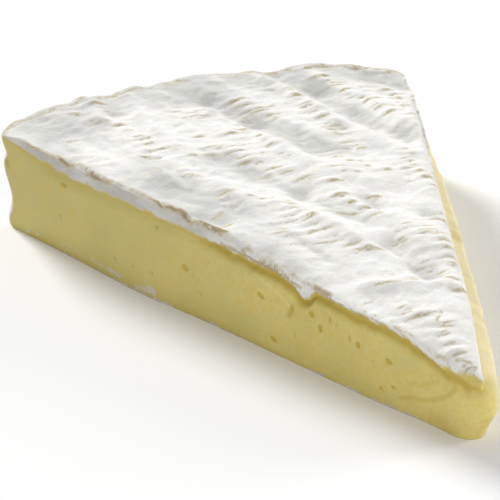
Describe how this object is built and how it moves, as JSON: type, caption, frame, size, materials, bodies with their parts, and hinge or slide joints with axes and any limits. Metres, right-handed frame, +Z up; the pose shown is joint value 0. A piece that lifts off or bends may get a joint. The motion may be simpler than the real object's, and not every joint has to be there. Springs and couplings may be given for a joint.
{
  "type": "brie wedge",
  "caption": "Wedge of soft ripened cheese cut from a low round wheel: white mould rind with long soft ridges and tan streaks on top, pale yellow paste on the cut faces, and a sagging rounded tip.",
  "frame": {"origin": "middle of the wedge's bounding box, on the flat base", "axes": "+Z up from the base to the rind; +Y from the cut tip towards the curved rim; +X towards the right-hand cut face, seen with the tip in front"},
  "size_m": [0.1372, 0.186, 0.0341],
  "materials": {
    "paste": "soft, slightly moist pale yellow cheese paste",
    "rind": "dry, powdery white mould with tan streaks"
  },
  "bodies": {
    "root": {"brie_wedge": "paste"}
  },
  "joints": []
}
